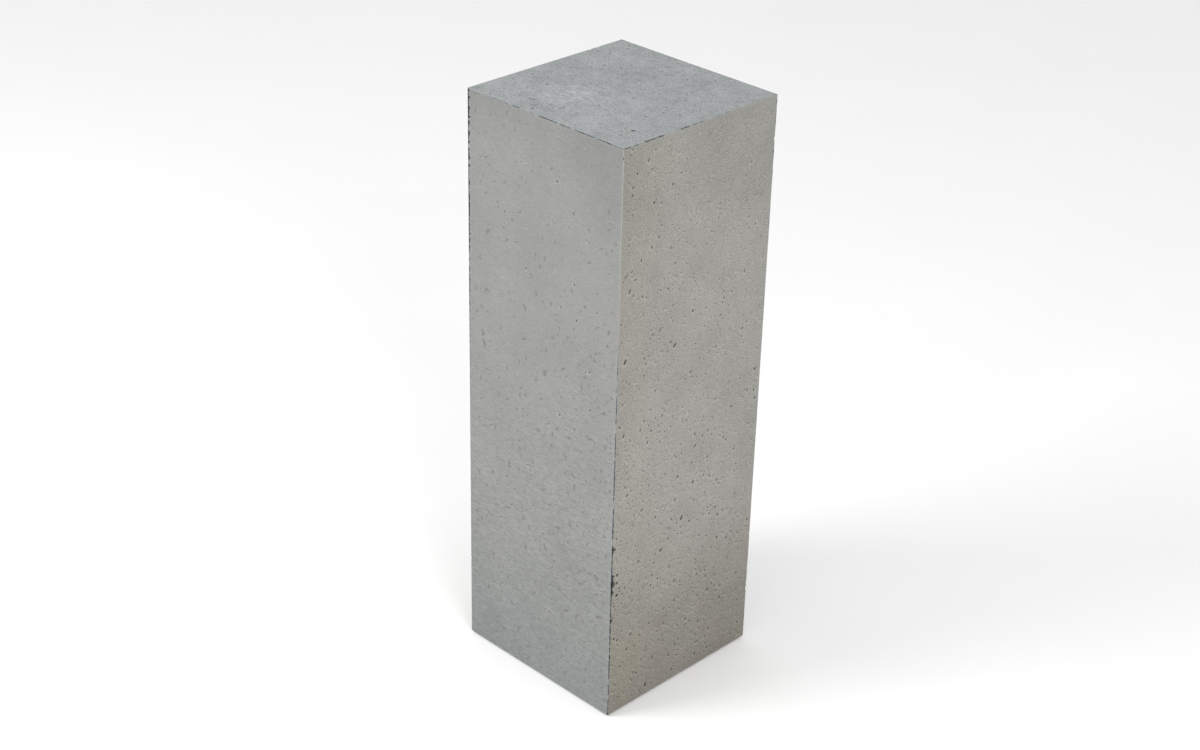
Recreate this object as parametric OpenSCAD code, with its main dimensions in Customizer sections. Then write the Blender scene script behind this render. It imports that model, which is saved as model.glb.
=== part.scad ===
// Square display plinth: five mitred glass-fibre concrete panels bonded to a plywood
// carcass, standing on four levelling feet that screw in and out of the base board.
// Millimetres, +Z up. The origin is on the floor under the middle of the plinth.
// The front is the -Y side and the right is the +X side.

/* [Overall] */
// Outside width of the square section
plinth_w = 300; // [260:5:400]
// Height of the top face above the floor
plinth_h = 900; // [600:10:1200]
// Gap under the concrete, which hides the feet
floor_gap = 3; // [2:0.5:5]

/* [Concrete shell] */
// Thickness of a concrete panel
panel_t = 12; // [8:1:16]
// Width of the filled joint between two mitred edges
joint_w = 0.8; // [0.5:0.1:1.5]

/* [Adhesive] */
// Thickness of the adhesive between the concrete and the carcass
bond_t = 2; // [1:0.5:4]
// Width of one adhesive bead
bead_w = 18; // [10:1:30]
// Distance between neighbouring beads
bead_pitch = 100; // [60:5:110]

/* [Carcass] */
// Thickness of the carcass boards
board_t = 12; // [12:1:18]
// Thickness of the base board that carries the feet
base_board_t = 18; // [15:1:24]
// Side of the square corner battens
batten_w = 20; // [15:1:25]
// Height of the carcass edge above the concrete edge
carcass_lift = 3; // [2:1:8]
// Height of the middle of the stiffener, as a share of the plinth's height
stiffener_share = 0.5; // [0.4:0.05:0.6]

/* [Carcass screws] */
// Shank diameter
screw_d = 3.5; // [3:0.5:4]
// Head diameter
screw_head_d = 7; // [6:0.5:8]
// Length with the head
screw_len = 35; // [30:5:40]
// Screws along each long edge
edge_screws = 5; // [3:1:7]

/* [Levelling feet] */
// Distance of a foot's axis from the two middle planes
foot_out = 95; // [70:1:95]
// Thread diameter of the stud
stud_d = 8; // [6:1:10]
// Length of the stud above the glide
stud_len = 45; // [40:1:60]
// Width of the hexagonal collar across its flats
hex_af = 13; // [10:1:15]
// Height of the hexagonal collar
hex_h = 5.5; // [4:0.5:8]
// Diameter of the nylon glide
glide_d = 32; // [28:1:40]
// Height of the nylon glide
glide_h = 10; // [10:1:14]
// Thickness of the rubber pad
pad_t = 3; // [2:0.5:4]
// Depth of the pad's recess in the glide
pad_recess = 1; // [0.5:0.5:1.5]

/* [Hidden] */
$fn = 64;
FEET = ["front_left", "front_right", "back_right", "back_left"];
SIDES = ["front", "right", "back", "left"];

CONCRETE_WARM = "#a09d95";
CONCRETE_GREY = "#a2a3a0";
CONCRETE_COOL = "#a1a5a6";
GROUT = "#3d4248";
GLUE = "#d9d4c4";
PLY = "#c9a877";
PINE = "#d8bd8c";
ZINC = "#b9bcc0";
NYLON = "#1f2124";
RUBBER = "#2a2a2a";

half_w = plinth_w / 2;
top_inner_z = plinth_h - panel_t;
carcass_half = half_w - panel_t - bond_t;
carcass_top = top_inner_z - bond_t;
wall_top = carcass_top - board_t;
wall_bottom = floor_gap + carcass_lift;
inside_half = carcass_half - board_t;
edge_line = carcass_half - board_t / 2;

// the stack under the base board: pad, glide, collar and the tee nut's flange
flange_t = 1.5;
flange_d = 22;
barrel_d = 10;
barrel_h = 11;
prong_w = 3;
prong_t = 1;
prong_h = 6;
prong_out = 8.5;
thread_gap = 0.06;
glide_z = pad_t - pad_recess;
collar_z = glide_z + glide_h;
flange_z = collar_z + hex_h;
base_board_z = flange_z + flange_t;
base_board_top = base_board_z + base_board_t;

// the glide: a dome with a socket that the stud's plain end turns in
glide_rim_h = 4;
glide_top_d = 20;
glide_edge = 0.8;
socket_depth = 6;
socket_gap = 0.05;
pad_d = glide_d - 3;
stud_chamfer = 1;

stiffener_z = plinth_h * stiffener_share;
bead_bottom = 30;
bead_top_gap = 16;
screw_tip = 5;
screw_head_h = 2.2;
screw_end_gap = 60;
board_screw_out = 60;
top_screw_out = 80;
eps = 0.01;

// ---- placing and cutting helpers ----

// turns what is drawn for the front side to side i: front, right, back, left
module on_side(i) rotate([0, 0, 90 * i]) children();

// puts what is drawn on the z axis at foot or corner i, in the order of FEET
module at_corner(i, out) on_side(i) translate([-out, -out, 0]) children();

// everything past the mitre plane of the front right arris, moved back by `back`
module past_corner_mitre(back)
    translate([half_w, -half_w, -eps])
        rotate([0, 0, 45])
            translate([-back, -panel_t, 0])
                cube([3 * panel_t, 4 * panel_t, plinth_h + 1]);

// everything past the mitre plane of the front top arris, on the panel's inner side
module past_top_mitre(back)
    translate([-half_w - 1, -half_w, plinth_h])
        rotate([45, 0, 0])
            translate([0, -back, -4 * panel_t])
                cube([plinth_w + 2, 3 * panel_t, 5 * panel_t]);

// everything before that plane, which is what the top panel leaves to the sides
module before_top_mitre(keep)
    translate([-half_w - 1, -half_w, plinth_h])
        rotate([45, 0, 0])
            translate([0, -3 * panel_t, -4 * panel_t])
                cube([plinth_w + 2, 3 * panel_t + keep, 5 * panel_t]);

// the top slab between its four mitre planes, each moved inward by `inset`
module top_slab(inset) {
    difference() {
        translate([-half_w, -half_w, top_inner_z]) cube([plinth_w, plinth_w, panel_t]);
        for (i = [0:3]) on_side(i) before_top_mitre(inset);
    }
}

// ---- concrete shell ----

module side_panel(i) {
    color(i % 2 == 0 ? CONCRETE_GREY : CONCRETE_WARM) on_side(i) difference() {
        translate([-half_w, -half_w, floor_gap])
            cube([plinth_w, panel_t, plinth_h - floor_gap]);
        past_corner_mitre(joint_w / 2);
        mirror([1, 0, 0]) past_corner_mitre(joint_w / 2);
        past_top_mitre(joint_w / 2);
    }
}

module top_concrete_panel() {
    color(CONCRETE_COOL) top_slab(joint_w / 2);
}

module top_joint_filler() {
    color(GROUT) difference() {
        top_slab(-joint_w / 2);
        top_slab(joint_w / 2);
    }
}

module corner_joint_filler() {
    color(GROUT) for (i = [0:3]) on_side(i) difference() {
        intersection() {
            translate([half_w - panel_t, -half_w, floor_gap])
                cube([panel_t, panel_t, plinth_h - floor_gap]);
            translate([half_w, -half_w, floor_gap]) rotate([0, 0, 45])
                translate([-joint_w / 2, -joint_w, 0])
                    cube([joint_w, 2 * panel_t, plinth_h]);
        }
        past_top_mitre(joint_w / 2);
        on_side(1) past_top_mitre(joint_w / 2);
    }
}

// ---- adhesive ----

module side_adhesive(i) {
    color(GLUE) on_side(i) for (n = [-1:1])
        translate([n * bead_pitch - bead_w / 2, -carcass_half - bond_t, bead_bottom])
            cube([bead_w, bond_t, carcass_top - bead_top_gap - bead_bottom]);
}

module top_adhesive_beads() {
    bead_l = 2 * carcass_half - 2 * bead_top_gap;
    color(GLUE) for (n = [-1:1])
        translate([-bead_l / 2, n * bead_pitch - bead_w / 2, carcass_top])
            cube([bead_l, bead_w, bond_t]);
}

// ---- carcass screws, each driven from the origin down the z axis ----

module screw() {
    rotate_extrude() polygon([
        [0, 0],
        [screw_head_d / 2, 0],
        [screw_d / 2, -screw_head_h],
        [screw_d / 2, screw_tip - screw_len],
        [0, -screw_len]
    ]);
}

// one screw through the front board, at x and z
module front_screw(x, z) translate([x, -carcass_half, z]) rotate([90, 0, 0]) screw();

module corner_screw_set() {
    span = wall_top - wall_bottom - 2 * screw_end_gap;
    for (i = [0, 2], side = [-1, 1], n = [0:edge_screws - 1])
        on_side(i)
            front_screw(side * edge_line,
                wall_bottom + screw_end_gap + n * span / (edge_screws - 1));
}

module board_screw_set(z) {
    for (i = [0:3], side = [-1, 1]) on_side(i) front_screw(side * board_screw_out, z);
}

module top_screw_set() {
    for (i = [0:3], n = [-1:1])
        on_side(i) translate([n * top_screw_out, -edge_line, carcass_top]) screw();
}

module base_screw_set() board_screw_set(base_board_z + base_board_t / 2);

module corner_screws() {
    color(ZINC) corner_screw_set();
}

module base_board_screws() {
    color(ZINC) base_screw_set();
}

module stiffener_screws() {
    color(ZINC) board_screw_set(stiffener_z);
}

module top_board_screws() {
    color(ZINC) top_screw_set();
}

// ---- carcass ----

// front and back boards cover the ends of the left and right ones
module carcass_board(i) {
    length = i % 2 == 0 ? 2 * carcass_half : 2 * inside_half;
    color(PLY) difference() {
        on_side(i) translate([-length / 2, -carcass_half, wall_bottom])
            cube([length, board_t, wall_top - wall_bottom]);
        corner_screw_set();
        base_screw_set();
        board_screw_set(stiffener_z);
        top_screw_set();
    }
}

module top_carcass_board() {
    color(PLY) difference() {
        translate([-carcass_half, -carcass_half, wall_top])
            cube([2 * carcass_half, 2 * carcass_half, board_t]);
        top_screw_set();
    }
}

module tee_nut_outside() {
    translate([0, 0, flange_z]) cylinder(d = flange_d, h = flange_t);
    translate([0, 0, base_board_z]) cylinder(d = barrel_d, h = barrel_h);
    for (turn = [0:90:270]) rotate([0, 0, turn])
        translate([prong_out - prong_t / 2, -prong_w / 2, base_board_z])
            cube([prong_t, prong_w, prong_h]);
}

module base_board() {
    color(PLY) difference() {
        translate([-inside_half, -inside_half, base_board_z])
            cube([2 * inside_half, 2 * inside_half, base_board_t]);
        base_screw_set();
        for (i = [0:3]) at_corner(i, foot_out) {
            tee_nut_outside();
            translate([0, 0, base_board_z]) cylinder(d = barrel_d, h = base_board_t + 1);
        }
    }
}

module mid_stiffener() {
    color(PLY) difference() {
        translate([-inside_half, -inside_half, stiffener_z - board_t / 2])
            cube([2 * inside_half, 2 * inside_half, board_t]);
        board_screw_set(stiffener_z);
        for (i = [0:3]) batten_shape(i);
    }
}

module batten_shape(i) {
    on_side(i) translate([-inside_half, -inside_half, base_board_top])
        cube([batten_w, batten_w, wall_top - base_board_top]);
}

module corner_batten(i) {
    color(PINE) batten_shape(i);
}

// ---- levelling feet ----

module base_board_tee_nuts() {
    color(ZINC) for (i = [0:3]) at_corner(i, foot_out) difference() {
        tee_nut_outside();
        translate([0, 0, flange_z - 1])
            cylinder(d = stud_d + 2 * thread_gap, h = flange_t + barrel_h + 2);
    }
}

// the stud: a plain end in the glide's socket, a hexagonal collar and the thread
module foot_stud(i) {
    color(ZINC) at_corner(i, foot_out) {
        translate([0, 0, collar_z]) cylinder(d = hex_af / cos(30), h = hex_h, $fn = 6);
        translate([0, 0, collar_z - socket_depth]) rotate_extrude() polygon([
            [0, 0],
            [stud_d / 2, 0],
            [stud_d / 2, socket_depth + stud_len - stud_chamfer],
            [stud_d / 2 - stud_chamfer, socket_depth + stud_len],
            [0, socket_depth + stud_len]
        ]);
    }
}

// the glide turns about the stud's plain end and holds the pad in a shallow recess
module foot_glide(i) {
    color(NYLON) at_corner(i, foot_out) translate([0, 0, glide_z]) difference() {
        rotate_extrude() polygon([
            [0, 0],
            [glide_d / 2 - glide_edge, 0],
            [glide_d / 2, glide_edge],
            [glide_d / 2, glide_rim_h],
            [glide_top_d / 2, glide_h],
            [0, glide_h]
        ]);
        translate([0, 0, -eps]) cylinder(d = pad_d, h = pad_recess + eps);
        translate([0, 0, glide_h - socket_depth])
            cylinder(d = stud_d + 2 * socket_gap, h = socket_depth + 1);
    }
}

module foot_pad(i) {
    color(RUBBER) at_corner(i, foot_out) cylinder(d = pad_d, h = pad_t);
}

// ---- nodes ----

for (i = [0:3]) {
    side_panel(i);
    side_adhesive(i);
    carcass_board(i);
    corner_batten(i);
    foot_stud(i);
    foot_glide(i);
    foot_pad(i);
}
top_concrete_panel();
corner_joint_filler();
top_joint_filler();
top_adhesive_beads();
top_carcass_board();
base_board();
mid_stiffener();
corner_screws();
base_board_screws();
stiffener_screws();
top_board_screws();
base_board_tee_nuts();
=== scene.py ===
"""Looks of a square display plinth of mitred concrete panels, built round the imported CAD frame.

The front face is -Y, the right face is +X and the origin is on the floor under the middle.
Meshes are worked out in millimetres and become metres when a piece is made. Each outer face
has its own coordinates: u runs to the right as seen from outside, v runs up (towards the
back on the top face), and depth runs inward from the ideal plane.
"""

import math
import random
from collections import namedtuple

import bmesh
import bpy
import numpy as np
from mathutils import Matrix, Vector, noise
from mathutils.geometry import delaunay_2d_cdt


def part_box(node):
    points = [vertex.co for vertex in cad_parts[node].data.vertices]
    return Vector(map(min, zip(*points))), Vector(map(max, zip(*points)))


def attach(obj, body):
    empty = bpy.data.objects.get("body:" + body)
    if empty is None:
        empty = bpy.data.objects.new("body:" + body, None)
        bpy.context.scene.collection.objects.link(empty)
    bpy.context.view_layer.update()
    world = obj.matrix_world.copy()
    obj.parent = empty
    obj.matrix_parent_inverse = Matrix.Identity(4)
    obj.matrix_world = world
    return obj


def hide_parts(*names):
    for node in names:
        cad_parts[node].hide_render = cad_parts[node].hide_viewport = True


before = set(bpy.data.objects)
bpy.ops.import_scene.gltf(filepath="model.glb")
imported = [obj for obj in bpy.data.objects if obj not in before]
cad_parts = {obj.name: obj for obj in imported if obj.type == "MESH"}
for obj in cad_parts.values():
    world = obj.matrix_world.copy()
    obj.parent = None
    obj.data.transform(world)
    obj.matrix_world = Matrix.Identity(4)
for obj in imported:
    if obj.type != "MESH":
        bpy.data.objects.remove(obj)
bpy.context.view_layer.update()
MM = 0.001

# ---- camera: where it stands, from the plinth's own axis ----

CAMERA_AZIMUTH = 44.48
CAMERA_ELEVATION = 28.08
CAMERA_DISTANCE = 3130 * MM
CAMERA_ROLL = 1.41
CAMERA_LENS = 64.15
AIM_HEIGHT = 459 * MM
AIM_LEFT = 21.5 * MM

# ---- the joints and arrises ----

ROW_STEP = 1.0  # distance between rows of points along an arris
LEAST_WEAR = 0.35  # every cast arris is rounded by at least this much
STRIP = (0.0, 0.45, 0.9, 1.1)  # points across a worn edge, in shares of its width
STRIP_MARGIN = 1.0  # distance from a worn edge to its last row of points
RUB_AND_HIGHLIGHT_WIDTH = 1.3  # how far the paler band, partly rubbing and partly painted highlight, reaches past a worn edge
DEEPEST_CHIP = 3.4

SIDES = ("front", "right", "back", "left")
FEET = ("front_left", "front_right", "back_right", "back_left")


def box_mm(node):
    low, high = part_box(node)
    return low / MM, high / MM


PANEL_LOW, PANEL_HIGH = box_mm("front_concrete_panel")
HALF = -PANEL_LOW.y
THICK = PANEL_HIGH.y - PANEL_LOW.y
FACE_HALF = PANEL_HIGH.x
JOINT = HALF - FACE_HALF
BOTTOM, SIDE_TOP = PANEL_LOW.z, PANEL_HIGH.z
HEIGHT = box_mm("top_concrete_panel")[1].z
STUD_RADIUS = 4.0


def quarter_turns(x, y, turns):
    """Turns what belongs to the front side to another side."""
    for _ in range(turns):
        x, y = -y, x
    return x, y


# ---- noise along a line and over a face ----


def wander(t, size, seed):
    """Smooth noise, mostly from -1 to 1, along a line, with bumps about `size` apart."""
    return np.array([noise.noise(Vector((x / size, seed * 7.3, 0.5))) for x in t]) * 1.6


def rough(u, v, size_u, size_v, seed):
    """Smooth noise, mostly from -1 to 1, over a face."""
    at = zip(u / size_u, v / size_v, strict=True)
    return np.array([noise.noise(Vector((a, b, seed * 5.7))) for a, b in at]) * 1.6


def smooth(x, low, high):
    s = np.clip((x - low) / (high - low), 0, 1)
    return s * s * (3 - 2 * s)


def knots(t, pairs):
    """Straight lines between (place, value) pairs."""
    at, value = zip(*pairs, strict=True)
    return np.interp(t, at, value)


# ---- arrises: how far each face's edge has worn back, how dark the filler shows with painted shade where it is missing, and a paler band that is partly painted highlight ----

# reach_a and reach_b are how far it goes over the two faces, open how empty of filler it is
Chip = namedtuple("Chip", "at length reach_a reach_b open")


class Arris:
    """The filled joint between face a and face b, tabulated along its length.

    wear and pale are for the edges of a and b, as two lists of (place, width) and (place,
    strength) pairs; the paler band is partly rubbing and partly painted highlight. dark does the
    same for the filler, and open chips raise it to full, painted shade where the filler is
    missing. broken is the share of the length over which the wear stops."""

    def __init__(self, seed, ends, wear, dark, pale_and_highlight, broken=0.3, chips=()):
        self.t = np.arange(ends[0], ends[1] + ROW_STEP / 2, ROW_STEP / 2)
        gate = smooth(wander(self.t, 9, seed) + 1 - 2 * broken, -0.1, 0.35)
        self.width = [self.worn(pairs, gate, seed + 20 + k) for k, pairs in enumerate(wear)]
        self.open = np.zeros(len(self.t))
        for n, chip in enumerate(chips):
            self.cut(chip, seed + 40 + n)
        self.width = [np.maximum(w, LEAST_WEAR) for w in self.width]
        flicker = 0.2 + 0.35 * wander(self.t, 5, seed + 60)
        dark = knots(self.t, dark) * (0.35 + 0.65 * gate) * (0.85 + flicker)
        # open chips raise the dark to full: painted shade in the gap where the filler is missing
        self.dark = np.maximum(np.clip(dark, 0, 1), self.open)
        # how strongly the paler band shows along the arris, partly rubbing and partly painted
        # highlight
        rub_and_highlight = np.clip(0.75 + 0.5 * wander(self.t, 14, seed + 80), 0, 1)
        self.pale_and_highlight = [knots(self.t, pairs) * rub_and_highlight for pairs in pale_and_highlight]

    def worn(self, wear, gate, seed):
        jag = 0.75 + 0.55 * wander(self.t, 3.1, seed) + 0.35 * wander(self.t, 1.3, seed + 0.5)
        return knots(self.t, wear) * gate * np.clip(jag, 0.1, 2)

    def cut(self, chip, seed):
        x = (self.t - chip.at) / (chip.length / 2) + 0.25 * wander(self.t, 4, seed)
        shape = np.clip(1 - np.abs(x), 0, 1) ** 0.7
        shape *= 0.9 + 0.25 * wander(self.t, 1.7, seed + 0.3)
        for k, reach in enumerate((chip.reach_a, chip.reach_b)):
            self.width[k] = np.maximum(self.width[k], reach * shape)
        self.open = np.maximum(self.open, chip.open * np.clip(3 * shape, 0, 1))

    def at(self, values, t):
        return np.interp(t, self.t, values)


def edge_depth(width):
    """How deep a worn edge goes where it meets the joint."""
    return np.minimum(0.55 * width + 0.05, DEEPEST_CHIP)


def worn_depth(e, width):
    """Depth at a distance e from the joint, for an edge worn back by `width`."""
    return edge_depth(width) * (1 - np.clip(e / width, 0, 1) ** 3)


def random_chips(rng, low, high, count, reach, length, least_open=0.3):
    """Small chips at random places along an arris."""
    chips = []
    for _ in range(count):
        size, side = rng.uniform(0.3, 1) ** 1.6, rng.random()
        chips.append(Chip(
            rng.uniform(low, high), length * size, reach * size * side,
            reach * size * (1 - side), rng.uniform(least_open, 1)))
    return chips


# where the front arris has crumbled
CRUMBS = (296, 281, 268, 243, 222, 206, 198, 184, 163, 150, 131, 118, 92, 71)
FRONT_CHIPS = (
    Chip(887, 6, 0.3, 1.2, 0.7), Chip(575, 6, 0.3, 1.6, 0.8), Chip(524, 5, 0.2, 1.5, 0.7),
    Chip(470, 7, 0.6, 1.7, 0.7), Chip(290, 12, 1.2, 6.5, 1), Chip(243, 14, 1.6, 7.0, 1),
    Chip(231, 18, 2.6, 9.0, 1), Chip(217, 20, 1.4, 6.0, 1), Chip(170, 11, 1.6, 6.0, 1),
    Chip(106, 10, 0.8, 3.6, 1), Chip(52, 6, 0.6, 2.0, 0.8), Chip(5, 9, 1.6, 1.8, 0.2))


def front_arris(rng, ends):
    """Sound high up, with a paler band that is partly painted highlight; low down dark filler and
    many chips, with painted shade where the filler is missing.
    """
    crumbs = [Chip(at, rng.uniform(4, 8), rng.uniform(0.2, 0.9), rng.uniform(1.4, 3.6), 1)
              for at in CRUMBS]
    return Arris(
        1, ends,
        wear=([(0, 0.5), (150, 0.7), (330, 0.8), (560, 0.5), (620, 0.2), (900, 0.1)],
              [(0, 0.8), (90, 1.2), (300, 1.5), (460, 1.0), (600, 0.7), (640, 0.2), (900, 0.2)]),
        dark=[(0, 0.8), (300, 0.85), (500, 0.7), (590, 0.4), (640, 0.05), (900, 0.0)],
        pale_and_highlight=([(0, 0.1), (560, 0.1), (640, 0.15), (900, 0.2)],
              [(0, 0.1), (560, 0.1), (640, 0.2), (900, 0.2)]),
        broken=0.22,
        chips=[*crumbs, *FRONT_CHIPS])


def upright_arrises():
    """Arris k is where side k's right edge meets side k + 1's left edge."""
    rng = random.Random(11)
    ends = (BOTTOM, SIDE_TOP)
    front = front_arris(rng, ends)
    right = Arris(
        2, ends,
        wear=([(0, 0.4), (450, 0.5), (600, 0.9), (900, 1.1)], [(0, 0.4), (900, 0.6)]),
        dark=[(0, 0.35), (450, 0.5), (900, 0.8)],
        pale_and_highlight=([(0, 0.3)], [(0, 0.3)]),
        broken=0.5,
        chips=random_chips(rng, 30, 870, 9, 3.2, 10))
    back = Arris(
        3, ends,
        wear=([(0, 0.7), (500, 0.4), (900, 0.8)], [(0, 0.5), (900, 0.6)]),
        dark=[(0, 0.7), (500, 0.4), (900, 0.6)],
        pale_and_highlight=([(0, 0.3)], [(0, 0.3)]),
        broken=0.45,
        chips=random_chips(rng, 30, 870, 12, 4, 11))
    left = Arris(
        4, ends,
        wear=([(0, 0.4), (450, 0.5), (900, 1.2)],
              [(0, 0.3), (400, 0.6), (560, 1.2), (700, 2.5), (900, 3.2)]),
        dark=[(0, 0.3), (400, 0.55), (600, 0.9), (900, 1.0)],
        pale_and_highlight=([(0, 0.2)], [(0, 0.2)]),
        broken=0.05,
        chips=random_chips(rng, 60, 500, 5, 2.4, 8))
    return [front, right, back, left]


def top_arrises():
    """Arris i is where side i's top edge meets the top face, along side i's own u."""
    rng = random.Random(12)
    ends = (-FACE_HALF, FACE_HALF)
    front = Arris(
        5, ends,
        wear=([(-150, 0.3), (150, 0.4)], [(-150, 0.3), (-80, 0.6), (-30, 1.0), (150, 1.2)]),
        dark=[(-150, 0.15), (-80, 0.5), (-40, 0.8), (150, 0.95)],
        pale_and_highlight=([(-150, 0.0), (-50, 0.15), (0, 0.4), (150, 0.4)], [(-150, 0.0), (150, 0.1)]),
        broken=0.35,
        chips=[Chip(-96, 7, 0.3, 1.6, 0.5), Chip(-20, 5, 0.2, 1.4, 0.6),
               Chip(141, 6, 0.4, 1.8, 0.9)])
    right = Arris(
        6, ends,
        wear=([(-150, 1.0), (-20, 0.8), (0, 0.4), (150, 0.4)],
              [(-150, 1.0), (-20, 0.8), (10, 0.4), (150, 0.4)]),
        dark=[(-150, 0.8), (-30, 0.75), (0, 0.4), (150, 0.35)],
        pale_and_highlight=([(-150, 0.4), (150, 0.2)], [(-150, 0.2), (150, 0.1)]),
        broken=0.45,
        chips=[Chip(-144, 9, 0.4, 2.0, 1.0), Chip(-126, 9, 1.4, 1.2, 0.9),
               Chip(-88, 6, 0.8, 1.6, 0.9), Chip(-40, 8, 1.4, 1.0, 0.8)])
    back, left = (
        Arris(
            seed, ends,
            wear=([(-150, 0.7), (150, 0.6)], [(-150, 0.5), (150, 0.8)]),
            dark=[(-150, 0.5), (0, 0.4), (150, 0.6)],
            pale_and_highlight=([(0, 0.3)], [(0, 0.2)]),
            broken=0.4,
            chips=random_chips(rng, -130, 130, 5, 2.4, 8))
        for seed in (7, 8))
    return [front, right, back, left]


def bottom_arris(seed):
    """The lower edge of a side panel, which meets nothing."""
    rng = random.Random(seed)
    plain, none = [(0, 0.6)], [(0, 0.2)]
    chips = random_chips(rng, -140, 140, 6, 3, 9)
    return Arris(seed, (-FACE_HALF, FACE_HALF), (plain, plain), none, (none, none), 0.3, chips)


UPRIGHT = upright_arrises()
TOP = top_arrises()
BELOW = [bottom_arris(31 + turn) for turn in range(4)]

# ---- holes, filled pits and smears in a face ----

# u, v: middle. long, wide: half lengths. lean: angle of the long axis from u. hole: how dark
# the hole is painted, painted shade inside it. stain: how dark the stain is. bend: curves the long
# axis. jag: roughness of the outline.
Pit = namedtuple("Pit", "u v long wide lean depth hole stain bend jag")

# rings of a pit from outside in: share of the radius, share of the depth, share of the colour,
# which in a hole is painted shade and in a smear is stain
HOLE_RINGS = ((1.25, 0, 0), (1.0, 0.1, 0.5), (0.84, 0.7, 1), (0.45, 1, 1))
SMEAR_RINGS = ((1.35, 0, 0), (1.0, 0.4, 0.6), (0.6, 1, 1))
RING_SPACING = 0.65
SMALL_HOLE = 1.0  # a hole this long or less has no inner ring
GRID = 10.0  # cells in which points look for the pits near them


def hole(rng, u, v, long, slim, lean):
    wide = long * rng.uniform(*slim)
    depth = min(1.1 * wide, 2.4) * rng.uniform(0.8, 1.1)
    return Pit(u, v, long, wide, lean, depth, rng.uniform(0.8, 1), 0, 0, 0.14)


def smear(rng, u, v, long, slim, lean):
    wide = long * rng.uniform(*slim)
    bend = rng.choice((-1, 1)) * rng.uniform(0.1, 0.65) / long
    stain = rng.uniform(0.6, 1)
    return Pit(u, v, long, wide, lean, rng.uniform(0.12, 0.3), 0, stain, bend, 0.4)


def scatter(rng, face, kind, count, sizes, slim, lean, dense):
    """Adds up to `count` pits that don't touch each other or an edge, more where dense is high.

    sizes is the least and the greatest half length, slim the range of width to length, lean
    the middle and the spread of the long axis's angle."""
    least, greatest = sizes
    taken = np.array([(p.u, p.v, p.long) for p in face.pits] + [(1e6, 1e6, 0)])
    for _ in range(count):
        for _ in range(8):
            long = least * (greatest / least) ** (rng.random() ** 2.2)
            edge = 1.5 * long + 2.4
            u = rng.uniform(-FACE_HALF + edge, FACE_HALF - edge)
            v = rng.uniform(face.low + edge, face.high - edge)
            gaps = np.hypot(taken[:, 0] - u, taken[:, 1] - v) - 1.4 * (taken[:, 2] + long)
            if rng.random() < dense(u, v) and gaps.min() > 0.5:
                face.pits.append(kind(rng, u, v, long, slim, rng.gauss(*lean)))
                taken = np.vstack([taken, (u, v, long)])
                break


def ring_points(pit, rng):
    """Points (u, v, depth, hole, stain, pale) on the rings of a pit and at its middle. hole is
    painted shade in a hole, pale a painted highlight on the lower side of its outer ring.
    """
    rings = HOLE_RINGS if pit.hole else SMEAR_RINGS
    if pit.hole and pit.long <= SMALL_HOLE:
        rings = rings[:-1]
    count = min(max(round(2 * math.pi * pit.long / RING_SPACING), 7), 24)
    waves = [(k, pit.jag * rng.uniform(0.3, 1) / k**0.5, rng.uniform(0, 6.3)) for k in (2, 3, 5)]
    c, s = math.cos(pit.lean), math.sin(pit.lean)
    points = [(pit.u, pit.v, pit.depth, pit.hole, pit.stain, 0)]
    for share, deep, colour in rings:
        for n in range(count):
            angle = 2 * math.pi * (n + 0.5 * (share > 0.9)) / count
            r = share * (1 + sum(a * math.sin(k * angle + p) for k, a, p in waves))
            a, b = pit.long * r * math.cos(angle), pit.wide * r * math.sin(angle)
            b += pit.bend * a * a
            du, dv = a * c - b * s, a * s + b * c
            # painted highlight on the lower side of a hole's outer ring, as if lit from above
            lit_lip = 0.3 * pit.hole * (share > 1) * max(0.0, -dv - 0.4 * du) / pit.long
            points.append((pit.u + du, pit.v + dv, pit.depth * deep, pit.hole * colour,
                           pit.stain * colour, min(lit_lip, 1)))
    return points


def cells_reached(at, reach):
    """Numbers of the cells of a square grid that a pit reaches in one direction."""
    return range(int((at - reach) // GRID), int((at + reach) // GRID) + 1)


def clear_of(u, v, pits):
    """Which of the points (u, v) lie outside every pit's outer ring."""
    near = {}
    for pit in pits:
        reach = 1.7 * pit.long + 1
        for i in cells_reached(pit.u, reach):
            for j in cells_reached(pit.v, reach):
                near.setdefault((i, j), []).append(pit)
    keep = np.ones(len(u), bool)
    for n, (a, b) in enumerate(zip(u, v, strict=True)):
        for pit in near.get((int(a // GRID), int(b // GRID)), ()):
            du, dv = a - pit.u, b - pit.v
            c, s = math.cos(pit.lean), math.sin(pit.lean)
            x, y = du * c + dv * s, -du * s + dv * c
            y -= pit.bend * x * x
            if (x / pit.long) ** 2 + (y / pit.wide) ** 2 < 3.2 or math.hypot(x, y) < 0.5:
                keep[n] = False
                break
    return keep


# ---- faces ----


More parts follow.
